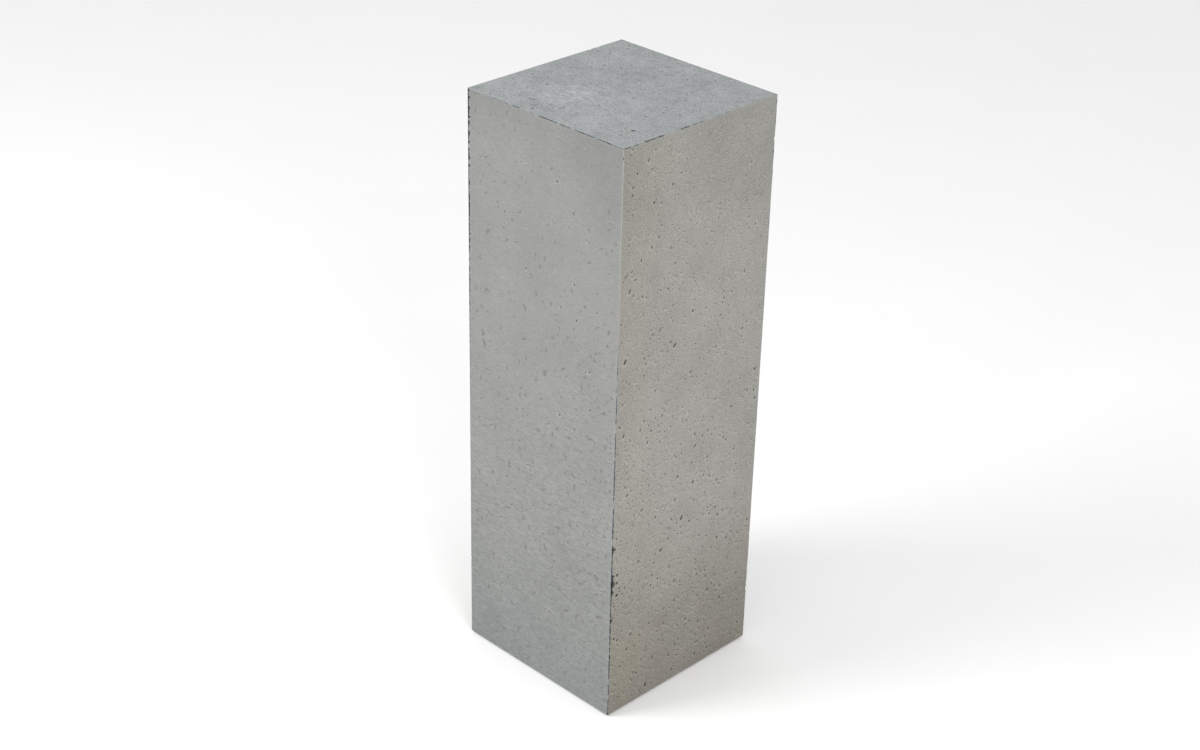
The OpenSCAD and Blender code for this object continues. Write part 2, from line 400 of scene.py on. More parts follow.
class Face:
    """One outer face: its edges' wear, the pits in it and the relief between them."""

    def __init__(self, name, cell, relief, turn=None):
        self.name, self.cell, self.relief, self.turn = name, cell, relief, turn
        self.upper = turn is None
        self.low = -FACE_HALF if self.upper else BOTTOM
        self.high = FACE_HALF if self.upper else SIDE_TOP
        self.pits = []

    def place(self, u, v, depth):
        """Face coordinates in the plinth's frame."""
        if self.upper:
            return np.stack([u, v, HEIGHT - depth], 1)
        return np.stack([*quarter_turns(u, depth - HALF, self.turn), v], 1)

    def inner_corners(self):
        a, low = FACE_HALF - THICK, self.low + (THICK if self.upper else 0)
        high = self.high - THICK
        u, v = np.array([-a, a, a, -a]), np.array([low, low, high, high])
        return self.place(u, v, np.full(4, THICK))

    def along_edges(self, what, u, v):
        """Width or paleness of the left, right, lower and upper edges beside the points."""
        if self.upper:
            edges = [(TOP[3], 1, -v), (TOP[1], 1, v), (TOP[0], 1, u), (TOP[2], 1, -u)]
        else:
            turn = self.turn
            edges = [(UPRIGHT[turn - 1], 1, v), (UPRIGHT[turn], 0, v), (BELOW[turn], 0, u),
                     (TOP[turn], 0, u)]
        return [arris.at(getattr(arris, what)[side], t) for arris, side, t in edges]

    def distances(self, u, v):
        return [u + FACE_HALF, FACE_HALF - u, v - self.low, self.high - v]

    def edges(self, u, v):
        """Distance of the points from each edge and how far that edge has worn beside them."""
        return list(zip(self.distances(u, v), self.along_edges("width", u, v), strict=True))

    def shifted(self, u, v, depth):
        """Moves points by a mitred edge inward, so that the border stays on the mitre plane."""
        left, right, lower, upper = (
            np.clip(1 - e / (STRIP[-1] * w), 0, 1) for e, w in self.edges(u, v))
        return u + depth * (left - right), v + depth * ((lower if self.upper else 0) - upper)

    def strip_points(self):
        """Points along the four edges, which follow the outline of the wear."""
        u, v = [], []
        rows = np.linspace(self.low, self.high, round((self.high - self.low) / ROW_STEP) + 1)
        lines = np.linspace(-FACE_HALF, FACE_HALF, round(2 * FACE_HALF / ROW_STEP) + 1)
        corner = np.abs(lines) > FACE_HALF - 5
        inner = lines[~corner]
        side = self.along_edges("width", np.zeros_like(rows), rows)[:2]
        ends = self.along_edges("width", inner, np.zeros_like(inner))[2:]
        for share, extra in [(share, 0) for share in STRIP] + [(STRIP[-1], STRIP_MARGIN)]:
            for sign, width in zip((-1, 1), side, strict=True):
                u.append(sign * (FACE_HALF - width * share - extra))
                v.append(rows)
            for border, sign, width in zip((self.low, self.high), (1, -1), ends, strict=True):
                u.append(inner)
                v.append(border + sign * (width * share + extra))
        for border in (self.low, self.high):
            u.append(lines[corner][1:-1])
            v.append(np.full_like(u[-1], border))
        return np.concatenate(u), np.concatenate(v)

    def field_points(self, rng):
        """Points between the edges, in slightly shuffled rows."""
        step_u, step_v = self.cell
        u = np.linspace(-FACE_HALF, FACE_HALF, round(2 * FACE_HALF / step_u) + 1)
        v = np.linspace(self.low, self.high, round((self.high - self.low) / step_v) + 1)
        u, v = (grid.ravel() for grid in np.meshgrid(u, v))
        u = u + (rng.random(len(u)) - 0.5) * 0.5 * step_u
        v = v + (rng.random(len(v)) - 0.5) * 0.35 * step_v
        gap = np.min([e - STRIP[-1] * w for e, w in self.edges(u, v)], axis=0)
        keep = gap > STRIP_MARGIN + 0.7
        u, v = u[keep], v[keep]
        keep = clear_of(u, v, self.pits)
        return u[keep], v[keep]

    def points(self):
        """All points as rows of u, v, pit depth, hole, stain, pale."""
        rng = np.random.default_rng(len(self.name) + (self.turn or 0) * 10)
        plain = np.hstack([self.strip_points(), self.field_points(rng)]).T
        plain = np.hstack([plain, np.zeros((len(plain), 4))])
        shapes = random.Random(self.name)
        rings = [p for pit in self.pits for p in ring_points(pit, shapes)]
        return np.concatenate([plain, np.array(rings).reshape(-1, 6)])


def chain(on, along):
    """The vertices marked in `on`, in order of the coordinate `along`."""
    found = np.flatnonzero(on)
    return [int(k) for k in found[np.argsort(along[found])]]


def walls_and_back(distances, u, v):
    """The four edge walls and the inner face, whose corners come after the outer points."""
    n = len(u)
    left, right, lower, upper = (np.abs(e) < 1e-3 for e in distances)
    return [
        chain(lower, u)[::-1] + [n, n + 1], chain(right, v)[::-1] + [n + 1, n + 2],
        chain(upper, u) + [n + 2, n + 3], chain(left, v) + [n + 3, n],
        [n + 3, n + 2, n + 1, n]]


def panel_mesh(face):
    """The closed mesh of a panel: the worn outer face, four edge walls and the inner face."""
    rows = face.points()
    flat = [Vector((a, b)) for a, b in rows[:, :2]]
    corners, _, triangles, sources, _, _ = delaunay_2d_cdt(flat, [], [], 0, 1e-4)
    u, v = np.array(corners, float).reshape(-1, 2).T
    # the hole share darkens the holes: painted shade inside them
    pit, holes, stains, lit_lips = rows[[s[0] for s in sources], 2:].T
    distances = face.distances(u, v)
    edges = face.edges(u, v)
    # how deep each worn edge goes; it also gives the mark that darkens worn edges and chips,
    # painted shade
    edge = np.max([worn_depth(e, w) for e, w in edges], axis=0)
    relief = np.maximum(face.relief(u, v), 0) * smooth(np.min(distances, axis=0), 0, 6)
    depth = np.maximum(edge, 0) + pit + relief
    pales = face.along_edges("pale_and_highlight", u, v)
    # a paler band beside each worn edge, partly rubbing and partly painted highlight
    rubbed_and_lit = np.max([
        p * (1 - smooth(e - STRIP[-1] * w, 0, RUB_AND_HIGHLIGHT_WIDTH))
        for (e, w), p in zip(edges, pales, strict=True)], axis=0)
    outer = face.place(*face.shifted(u, v, depth), depth)
    faces = [list(t) for t in triangles] + walls_and_back(distances, u, v)
    # the paler mark also carries the painted highlights on the lower rims of holes
    marks = {"hole": holes, "stain": stains, "pale_and_highlight": np.maximum(rubbed_and_lit, lit_lips),
             "chip_shade": smooth(edge, 0.35, 1.3)}
    marks = {name: np.append(mark, np.zeros(4)) for name, mark in marks.items()}
    return np.concatenate([outer, face.inner_corners()]), faces, marks


# ---- making pieces ----

SHARP_ANGLE = math.radians(38)


def in_scene(name, data):
    made = bpy.data.objects.new(name, data)
    bpy.context.scene.collection.objects.link(made)
    return made


def make_piece(name, points_mm, faces, marks=None):
    """A smooth-shaded mesh object, with a float attribute on the points for each mark."""
    mesh = bpy.data.meshes.new(name)
    mesh.from_pydata((np.asarray(points_mm) * MM).tolist(), [], faces)
    mesh.validate()
    shape = bmesh.new()
    shape.from_mesh(mesh)
    bmesh.ops.recalc_face_normals(shape, faces=shape.faces)
    shape.to_mesh(mesh)
    shape.free()
    mesh.shade_smooth()
    mesh.set_sharp_from_angle(angle=SHARP_ANGLE)
    for mark, values in (marks or {}).items():
        layer = mesh.attributes.new(mark, "FLOAT", "POINT")
        layer.data.foreach_set("value", np.asarray(values, np.float32))
    return in_scene(name, mesh)


def stand_for(piece, node, body, slot, material):
    """The piece takes a CAD node's place on a body, with the given material. slot is not used."""
    piece.data.materials.append(material)
    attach(piece, body)
    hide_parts(node)


def loft(count, size, first=0):
    """Faces of a tube through `count` rows of `size` points, with a cap at each end."""
    faces = []
    for row in range(count - 1):
        here, there = first + row * size, first + (row + 1) * size
        for k in range(size):
            after = (k + 1) % size
            faces.append([here + k, here + after, there + after, there + k])
    faces.append([first + k for k in reversed(range(size))])
    faces.append([first + (count - 1) * size + k for k in range(size)])
    return faces


# ---- node graphs ----


EVEN = (1, 1, 1)  # a stretch along no axis, and a factor that changes no colour


class Graph:
    """A short way to write a material's nodes. A value is a number, a colour or a socket."""

    def __init__(self, name):
        self.material = bpy.data.materials.new(name)
        self.material.use_nodes = True
        self.tree = self.material.node_tree
        self.where = self.node("ShaderNodeTexCoord").outputs["Object"]

    def put(self, socket, value):
        if isinstance(value, bpy.types.NodeSocket):
            self.tree.links.new(value, socket)
        elif isinstance(value, tuple):
            socket.default_value = (*value, 1)
        elif value is not None:
            socket.default_value = value

    def node(self, kind, inputs=(), **settings):
        """A new node. inputs maps the names or numbers of its sockets to values."""
        made = self.tree.nodes.new(kind)
        for key, value in settings.items():
            setattr(made, key, value)
        for key, value in dict(inputs).items():
            self.put(made.inputs[key], value)
        return made

    def math(self, kind, *values, clamp=False):
        inputs = enumerate(values)
        return self.node("ShaderNodeMath", inputs, operation=kind, use_clamp=clamp).outputs[0]

    def plus(self, a, b):
        return self.math("ADD", a, b)

    def minus(self, a, b):
        return self.math("SUBTRACT", a, b)

    def times(self, a, b):
        return self.math("MULTIPLY", a, b)

    def over(self, a, b):
        return self.math("DIVIDE", a, b)

    def scaled(self, size_mm, stretch, lean=(0, 0, 0)):
        """Object coordinates counted in steps of size_mm, longer along stretched axes."""
        scale = [size_mm * MM * s for s in stretch]
        inputs = {"Vector": self.where, "Rotation": list(lean), "Scale": scale}
        return self.node("ShaderNodeMapping", inputs, vector_type="TEXTURE").outputs[0]

    def noise(self, size_mm, detail=2.0, stretch=EVEN, roughness=0.5, shift=0.0):
        """Noise about 0.5 with features about size_mm apart."""
        inputs = {"Vector": self.scaled(size_mm, stretch), "W": shift, "Scale": 1,
                  "Detail": detail, "Roughness": roughness}
        return self.node("ShaderNodeTexNoise", inputs, noise_dimensions="4D").outputs["Fac"]

    def centred(self, *args, **settings):
        """Noise about 0, with the arguments of noise()."""
        return self.minus(self.noise(*args, **settings), 0.5)

    def cells(self, size_mm, stretch=EVEN, shift=0.0, lean=(0, 0, 0)):
        """Distance from the nearest of scattered points, and a random colour for each."""
        inputs = {"Vector": self.scaled(size_mm, stretch, lean), "W": shift, "Scale": 1}
        made = self.node("ShaderNodeTexVoronoi", inputs, voronoi_dimensions="4D")
        return made.outputs["Distance"], made.outputs["Color"]

    def mark(self, name):
        return self.node("ShaderNodeAttribute", attribute_name=name).outputs["Fac"]

    def along(self, axis, vector=None):
        """One axis of a vector, or of the object coordinates in metres."""
        made = self.node("ShaderNodeSeparateXYZ", {0: self.where if vector is None else vector})
        return made.outputs["XYZ".index(axis)]

    def from_axis(self, x_mm, y_mm):
        """Distance from an upright line through (x, y), in metres."""
        x, y = self.minus(self.along("X"), x_mm * MM), self.minus(self.along("Y"), y_mm * MM)
        return self.math("SQRT", self.plus(self.times(x, x), self.times(y, y)))

    def spread(self, value, low, high, to_low=0.0, to_high=1.0):
        """Maps low..high smoothly to to_low..to_high, and clamps."""
        inputs = enumerate((value, low, high, to_low, to_high))
        made = self.node("ShaderNodeMapRange", inputs, interpolation_type="SMOOTHSTEP")
        return made.outputs["Result"]

    def mix(self, share, a, b, blend="MIX"):
        made = self.node("ShaderNodeMix", data_type="RGBA", blend_type=blend)
        colours = [socket for socket in made.inputs if socket.type == "RGBA"]
        for socket, value in zip((made.inputs["Factor"], *colours), (share, a, b), strict=True):
            self.put(socket, value)
        return next(socket for socket in made.outputs if socket.type == "RGBA")

    def ramp(self, value, stops):
        """Colour along a ramp, from (place, colour) stops."""
        made = self.node("ShaderNodeValToRGB", {0: value})
        marks = made.color_ramp.elements
        while len(marks) < len(stops):
            marks.new(0.5)
        for mark, (place, colour) in zip(marks, stops, strict=True):
            mark.position = place
            mark.color = (*colour, 1)
        return made.outputs["Color"]

    def layered(self, layers):
        """0.5 plus weighted noise. A layer is size, weight, detail, stretch and shift."""
        tone = 0.5
        for size, weight, detail, stretch, shift in layers:
            field = self.centred(size, detail, stretch, 0.6, shift)
            tone = self.math("MULTIPLY_ADD", field, weight, tone)
        return tone

    def bump(self, height, reach_mm, below=None):
        inputs = {"Distance": abs(reach_mm) * MM, "Height": height, "Normal": below}
        return self.node("ShaderNodeBump", inputs, invert=reach_mm < 0).outputs["Normal"]

    def done(self, colour, roughness, normal=None, metallic=0.0, specular=0.5):
        shader = self.tree.nodes["Principled BSDF"]
        values = {"Base Color": colour, "Roughness": roughness, "Normal": normal,
                  "Metallic": metallic, "Specular IOR Level": specular}
        for name, value in values.items():
            self.put(shader.inputs[name], value)
        return self.material


# ---- concrete ----

# near black, painted shade inside holes and pinholes
HOLE_SHADE_COLOUR = (0.032, 0.031, 0.029)
# near black, painted shade in worn edges and chips
CHIP_SHADE_COLOUR = (0.03, 0.031, 0.033)
# cream of the paler arris band, partly rubbing and partly painted highlight, and of the painted
# highlights on hole rims
CREAM = (0.5, 0.485, 0.43)
WIPED_COLOUR = (0.42, 0.44, 0.445)
ACROSS = (8, 8, 1)  # stretches a texture along the level ripples
WIPED_REACH = 75 * MM
FAINT_FLECKS = 0.4  # how strongly the faint flecks of laitance show in cement skin
RIPPLE_PAINTED_LIGHT = 1.4  # how much lighter the ripple crests and darker the troughs are painted: painted light and shade on the relief

# dark, light: the two tones. layers: see Graph.layered. dots: cell, inner, outer and strength
# of air_dots. lean: the angle of the pinholes. waves: height of the level ripples in mm.
# grit: height of the grain in mm. sheen: least roughness.
Concrete = namedtuple("Concrete", "dark light stain layers dots lean waves grit sheen")

SMOOTH_SKIN = Concrete(
    dark=(0.172, 0.178, 0.175), light=(0.318, 0.320, 0.306), stain=(0.158, 0.15, 0.134),
    layers=[(110, 0.4, 2, EVEN, 1), (15, 0.14, 3, EVEN, 2), (1.1, 2.4, 4, EVEN, 4)],
    dots=[(8, 0.02, 0.1, 0.9), (3.0, 0.03, 0.19, 0.9)],
    lean=0.0, waves=0.6, grit=0.07, sheen=0.62)
SANDY = Concrete(
    dark=(0.172, 0.167, 0.152), light=(0.390, 0.385, 0.357), stain=(0.14, 0.128, 0.108),
    layers=[(90, 0.4, 2, EVEN, 1), (16, 0.2, 3, EVEN, 2), (4.0, 0.2, 2, EVEN, 3),
            (1.2, 3.2, 4, EVEN, 4)],
    dots=[(6, 0.04, 0.13, 1.0), (2.5, 0.07, 0.26, 1.0)],
    lean=math.radians(57), waves=0.0, grit=0.17, sheen=0.8)
MOTTLED = Concrete(
    dark=(0.182, 0.196, 0.199), light=(0.343, 0.361, 0.362), stain=(0.17, 0.168, 0.16),
    layers=[(70, 0.9, 2, EVEN, 1), (13, 0.8, 3, (1.3, 1, 1), 2), (4.6, 0.6, 2, EVEN, 3),
            (1.9, 1.8, 3, EVEN, 5), (1.2, 4.2, 4, EVEN, 4)],
    dots=[(8, 0.03, 0.16, 1.0), (2.8, 0.06, 0.26, 1.0)],
    lean=0.0, waves=0.0, grit=0.12, sheen=0.6)


def air_dots(g, cell_mm, inner, outer, strength, lean):
    """Pinholes, one to a cell at most, from inner to outer in radius as shares of the cell."""
    distance, colour = g.cells(cell_mm, (1, 1.9, 1), cell_mm, (lean, 0, 0))
    radius = g.plus(g.times(g.math("POWER", colour, 2.5), outer - inner), inner)
    return g.times(g.spread(g.over(distance, radius), 0.8, 1.3, 1, 0), strength)


def shaded(g, colour, axis, stops):
    """Painted shade: multiplies a colour by a slow change of tone along an axis, as (place in mm,
    factor) stops.
    """
    low, high = stops[0][0] * MM, stops[-1][0] * MM
    uneven = g.times(g.centred(55, 2, shift=12), 0.12)
    share = g.plus(g.over(g.minus(g.along(axis), low), high - low), uneven)
    shade = g.ramp(share, [((at * MM - low) / (high - low), f) for at, f in stops])
    return g.mix(1.0, colour, shade, blend="MULTIPLY")


def ripple_crests(g):
    """Level ripples about 0, which fade upward."""
    fade = g.spread(g.along("Z"), 0.25, 0.65, 1, 0.3)
    return g.times(g.centred(1.4, 2, ACROSS, 0.55, 8), fade)


def wiped_patch(g, colour, middle):
    """Pale streaks about a point (x, y) in mm, where the face has been wiped."""
    streaks = g.spread(g.noise(3.2, 3, (5, 1.4, 1), 0.7, 15), 0.42, 0.7, 0, 0.85)
    near = g.spread(g.from_axis(*middle), 0.2 * WIPED_REACH, WIPED_REACH, 1, 0)
    return g.mix(g.times(streaks, near), colour, WIPED_COLOUR)


def stained(g, colour, look):
    """Filled pits with frayed edges and, in cement skin, faint flecks between them."""
    stain = g.math("MULTIPLY_ADD", g.centred(1.8, 3, shift=6), 1.5, g.mark("stain"))
    colour = g.mix(g.spread(stain, 0.14, 0.44, 0, 0.78), colour, look.stain)
    if look.waves:
        flecks = g.noise(4.2, 3, (1.25, 1.25, 1), 0.62, 21)
        colour = g.mix(g.spread(flecks, 0.6, 0.68, 0, FAINT_FLECKS), colour, look.stain)
    return colour


def concrete(name, look, shades=(), wiped=None):
    """Cast concrete: clouds, mottling, grain, ripples, pinholes, stains and worn edges, with
    painted shade by place and in holes, pinholes and chips, painted light and shade on the
    ripples, and a paler arris band that is partly painted highlight.

    shades is a list of axis and stops of painted shade for shaded(). wiped is the middle of a
    paler patch."""
    g = Graph(name)
    tone = g.layered(look.layers)
    normal = g.bump(g.noise(1.3, 3, roughness=0.7, shift=4), look.grit)
    if look.waves:
        crests = ripple_crests(g)
        # crests painted lighter and troughs darker: painted light and shade on the ripple relief
        tone = g.math("MULTIPLY_ADD", crests, RIPPLE_PAINTED_LIGHT, tone)
        normal = g.bump(crests, look.waves, normal)
    colour = g.mix(g.spread(tone, -0.1, 1.1), look.dark, look.light)
    # painted shade by place on the face
    for axis, stops in shades:
        colour = shaded(g, colour, axis, stops)
    if wiped:
        colour = wiped_patch(g, colour, wiped)
    # pinholes darkened towards near black, painted shade inside them, a little less higher up
    dots = 0.0
    for dot in look.dots:
        dots = g.math("MAXIMUM", dots, air_dots(g, *dot, look.lean))
    dot_shade = g.times(dots, g.spread(g.along("Z"), 0.2, 0.75, 1, 0.75))
    colour = stained(g, g.mix(dot_shade, colour, HOLE_SHADE_COLOUR), look)
    # paler band along the arrises and on hole rims: partly rubbing, partly painted highlight
    colour = g.mix(g.times(g.mark("pale_and_highlight"), 0.8), colour, CREAM)
    # painted shade in worn edges and chips, growing with their depth
    colour = g.mix(g.mark("chip_shade"), colour, CHIP_SHADE_COLOUR)
    # painted shade inside the holes, from the hole mark
    colour = g.mix(g.mark("hole"), colour, HOLE_SHADE_COLOUR)
    roughness = g.spread(tone, 0.2, 0.8, look.sheen + 0.14, look.sheen)
    return g.done(colour, roughness, g.bump(dots, -0.5, normal), specular=0.35)


CROWD_REACH = 70  # pits crowd within about this distance of an arris
CROWD_TOP = 640  # up to this height
LOW_BAND = 350  # and are denser below this one
PITTED_TOP = 420  # small holes line the arris of a sandy side up to here
CRUMBLY_AT = 225  # and it has crumbled most at this height


def by_arris(gap):
    """1 at an arris, falling away across the face with the gap from it."""
    return math.exp(-gap / CROWD_REACH)


def skin_relief(u, v):
    """Fine level ripples, stronger low down, over a slow unevenness."""
    low = 0.35 + 0.65 * (1 - smooth(v, 250, 760))
    ripple = rough(u, v, 22, 3.2, 1) + 0.6 * rough(u, v, 14, 2.2, 2)
    return 0.2 + 0.05 * low * ripple + 0.07 * rough(u, v, 70, 50, 3)


def sand_relief(u, v):
    return 0.2 + 0.05 * rough(u, v, 7, 7, 4) + 0.1 * rough(u, v, 40, 40, 5)


def top_relief(u, v):
    streaks = rough(u + 0.3 * v, v - 0.3 * u, 60, 5, 6)
    return 0.2 + 0.04 * streaks + 0.07 * rough(u, v, 9, 7, 7) + 0.06 * rough(u, v, 60, 60, 8)


def smooth_side(turn, arris_sign, seed):
    """A side with cement skin. It has more smears by the arris on the side of arris_sign."""
    face = Face(SIDES[turn], (7.5, 1.05), skin_relief, turn)
    rng = random.Random(seed)

    def dense(u, v):
        crowd = by_arris(FACE_HALF - arris_sign * u) * (v < CROWD_TOP)
        return 0.16 + 0.8 * crowd + 0.16 * (v < LOW_BAND)

    lean = (math.radians(60 * arris_sign), math.radians(40))
    scatter(rng, face, smear, 150, (3.2, 6.0), (0.22, 0.5), lean, dense)
    scatter(rng, face, smear, 460, (1.7, 3.2), (0.28, 0.65), lean, dense)
    scatter(rng, face, hole, 200, (0.8, 1.9), (0.25, 0.6), lean, dense)
    return face


def sandy_side(turn, arris_sign, seed):
    """A side with open air holes, which lean the same way. They are denser low down."""
    face = Face(SIDES[turn], (4.6, 4.6), sand_relief, turn)
    rng = random.Random(seed)

    def dense(u, v):
        return 0.03 + 0.18 * by_arris(FACE_HALF - arris_sign * u) + 0.8 * (1 - v / HEIGHT) ** 1.6

    def finer(u, v):
        return 0.3 + dense(u, v)

    def beside_arris(u, v):
        return math.exp(-(FACE_HALF - arris_sign * u) / 9) * (v < PITTED_TOP)

    def crumbly(u, v):
        return math.exp(-(FACE_HALF - arris_sign * u) / 8 - ((v - CRUMBLY_AT) / 70) ** 2)

    lean = (math.radians(57), math.radians(18))
    scatter(rng, face, hole, 400, (1.7, 3.2), (0.5, 0.9), lean, crumbly)
    scatter(rng, face, hole, 26, (2.4, 4.2), (0.28, 0.45), lean, dense)
    scatter(rng, face, hole, 330, (1.6, 2.9), (0.3, 0.52), lean, dense)
    scatter(rng, face, hole, 900, (1.0, 1.9), (0.3, 0.6), lean, beside_arris)
    scatter(rng, face, hole, 1200, (0.8, 1.4), (0.4, 0.8), lean, finer)
    scatter(rng, face, smear, 60, (2.0, 6.0), (0.15, 0.5), lean, dense)
    return face


def top_face():
    face = Face("top", (3.2, 3.2), top_relief)
    rng = random.Random(5)
    face.pits += [hole(rng, 112, -94, 3.0, (0.7, 0.8), 0.6),
                  hole(rng, -61, -114, 6.0, (0.2, 0.24), 0.5),
                  smear(rng, -42, -126, 5.0, (0.5, 0.6), 0.7)]
    lean = (0.3, 0.8)

    def even(u, v):
        return 0.6

    scatter(rng, face, hole, 240, (0.8, 1.9), (0.25, 0.8), lean, even)
    scatter(rng, face, smear, 170, (1.2, 3.8), (0.2, 0.8), lean, even)
    return face


# Painted shade on the sides: darker towards the bottom and towards the top edge and a little
# across each face, with a faint blue tint low on the cement skin and a warm tint low on the sandy
# sides.
SMOOTH_PAINTED_SHADE = [
    ("Z", [(0, (0.83, 0.88, 0.895)), (110, (0.92, 0.94, 0.94)), (320, EVEN),
           (650, (1.0, 1.0, 0.99)), (810, (0.96, 0.96, 0.95)), (900, (0.83, 0.835, 0.825))]),
    ("X", [(-150, (0.975, 0.975, 0.98)), (-70, EVEN), (150, (0.99, 0.99, 0.99))])]
SANDY_PAINTED_SHADE = [
    ("Z", [(0, (0.74, 0.71, 0.66)), (120, (0.825, 0.80, 0.755)), (250, (0.98, 0.975, 0.96)),
           (360, EVEN), (700, EVEN), (900, (0.895, 0.90, 0.89))]),
    ("Y", [(-150, (0.945, 0.935, 0.905)), (-60, (1.0, 0.998, 0.985)), (0, EVEN),
           (150, (0.95, 0.95, 0.95))])]
WIPED_PATCH = (-34, -58)  # its middle on the top face


def concrete_shell():
    smooth_look = concrete("smooth_concrete", SMOOTH_SKIN, SMOOTH_PAINTED_SHADE)
    sandy_look = concrete("sandy_concrete", SANDY, SANDY_PAINTED_SHADE)
    top_look = concrete("top_concrete", MOTTLED, wiped=WIPED_PATCH)
    panels = [
        (smooth_side(0, 1, 1), "concrete_smooth", smooth_look),
        (sandy_side(1, -1, 2), "concrete_sandy", sandy_look),
        (smooth_side(2, -1, 3), "concrete_smooth", smooth_look),
        (sandy_side(3, 1, 4), "concrete_sandy", sandy_look),
        (top_face(), "concrete_top", top_look),
    ]
    for face, slot, look in panels:
        piece = make_piece(f"{face.name}_panel_cast", *panel_mesh(face))
        stand_for(piece, f"{face.name}_concrete_panel", "plinth", slot, look)


# ---- joint filler ----

FILLER_COVER = 0.8  # share of a worn edge's width that the filler covers
FILLER_SUNK = 0.14  # how far sound filler lies below the arris


def filler_section(wear_a, wear_b, opened):
    """Outline of the filler across an arris, as depths (a, b) below the two faces."""
    da, db = edge_depth(wear_a), edge_depth(wear_b)
    root_a, root_b = np.array([da, JOINT + da]), np.array([JOINT + db, db])
    skin_a = np.array([0.2 * da + 0.06, JOINT + FILLER_COVER * wear_a])
    skin_b = np.array([JOINT + FILLER_COVER * wear_b, 0.2 * db + 0.06])
    tip, sunk = np.full(2, FILLER_SUNK), np.full(2, 0.5 * (da + db) + 0.2)
    bare = 0.94 * opened
    skin_a, skin_b = skin_a + (root_a - skin_a) * bare, skin_b + (root_b - skin_b) * bare
    tip = tip + (sunk - tip) * bare
    inner = [(THICK, THICK - JOINT), (THICK, THICK), (THICK - JOINT, THICK)]
    return [*inner, root_a, skin_a, tip, skin_b, root_b]


def upright_place(turn, t, a, b):
    """A point of upright arris `turn`. a is the depth below side turn, b below the next."""
    top = SIDE_TOP - max(a, b)
    z = BOTTOM + (t - BOTTOM) * (top - BOTTOM) / (SIDE_TOP - BOTTOM)
    return (*quarter_turns(HALF - b, a - HALF, turn), z)


def top_place(turn, t, a, b):
    """A point of top arris `turn`. a is the depth below the side, b below the top face."""
    return (*quarter_turns(t / FACE_HALF * (HALF - a), a - HALF, turn), HEIGHT - b)


def filler_piece(name, node, arrises, place, material):
    """A strip of filler along each arris, with a section at every other tabulated place."""
    points, faces, dark = [], [], []
    for turn, arris in enumerate(arrises):
        rows = zip(arris.t[::2], *(w[::2] for w in arris.width), arris.open[::2], strict=True)
        first = len(points)
        for t, wear_a, wear_b, opened in rows:
            section = filler_section(wear_a, wear_b, opened)
            points += [place(turn, t, a, b) for a, b in section]
        faces += loft(len(arris.t[::2]), len(section), first)
        dark += list(np.repeat(arris.dark[::2], len(section)))
    piece = make_piece(name, points, faces, {"dark": dark})
    stand_for(piece, node, "plinth", "joint_filler", material)


def filler_material():
    """Grout, cement-coloured where the dark mark is low, slate and then near black as it rises;
    where an arris is open of filler the mark is full, painted shade in the empty gap.
    """
    g = Graph("joint_grout")
    grain = g.noise(0.8, 3, roughness=0.7)
    patches = g.centred(2.4, 3, shift=1)
    dark = g.math("MULTIPLY_ADD", patches, 0.6, g.mark("dark"), clamp=True)
    # near black where the dark mark is full, which where an arris is open is painted shade in the
    # empty gap
    colour = g.ramp(dark, [
        (0.0, (0.325, 0.32, 0.295)), (0.3, (0.25, 0.265, 0.27)),
        (0.6, (0.10, 0.125, 0.155)), (1.0, (0.022, 0.027, 0.037))])
    grey = g.ramp(grain, [(0.3, (0.25, 0.25, 0.25)), (0.7, (0.75, 0.75, 0.75))])
    colour = g.mix(0.6, colour, grey, "SOFT_LIGHT")
    return g.done(colour, g.spread(grain, 0.3, 0.7, 0.7, 0.9), g.bump(grain, 0.15), specular=0.3)


def joint_fillers():
    grout = filler_material()
    filler_piece("corner_joint_grout", "corner_joint_filler", UPRIGHT, upright_place, grout)
    filler_piece("top_joint_grout", "top_joint_filler", TOP, top_place, grout)


# ---- levelling feet ----

THREAD_PITCH = 1.25
THREAD_DEPTH = 0.68
THREAD_ROWS = 8  # rows of points to a pitch
STUD_AROUND = 30  # points round a stud, a multiple of six for the collar's corners
GLIDE_AROUND = 96
GRIP_RIBS = 24
GLIDE_RIM = 4  # height of a glide's rim
GLIDE_TOP = 10  # radius of its upper face
COLLAR_LOW = box_mm("front_left_foot_glide")[1].z
COLLAR_HIGH = box_mm("base_board_tee_nuts")[0].z


def round_the_axis(count):
    return np.arange(count) * 2 * math.pi / count


def rings(radii, heights, around):
    """Points of rings round the axis. A radius is a number, or one for each angle."""
    angle = round_the_axis(around)
    rows = [np.stack([r * np.cos(angle), r * np.sin(angle), np.full(around, z)], 1)
            for r, z in zip(radii, heights, strict=True)]
    return np.concatenate(rows)


def thread_radii(z, radius, low, high):
    """Radius at each angle of a right-hand thread that runs out at its lower end."""
    turn = round_the_axis(STUD_AROUND) / (2 * math.pi)
    off_crest = np.abs(2 * ((z / THREAD_PITCH - turn) % 1) - 1)
    cut = THREAD_DEPTH * np.clip((off_crest - 0.125) / 0.625, 0, 1) * smooth(z - low, 0.4, 2)
    return np.minimum(radius - cut, radius - 1.0 + (high - z))


def hex_radii(across_flats, most):
    """Radius at each angle of a hexagon with corners along X, turned down to `most`."""
    angle = round_the_axis(STUD_AROUND) % (math.pi / 3) - math.pi / 6
    return np.minimum(across_flats / 2 / np.cos(angle), most)


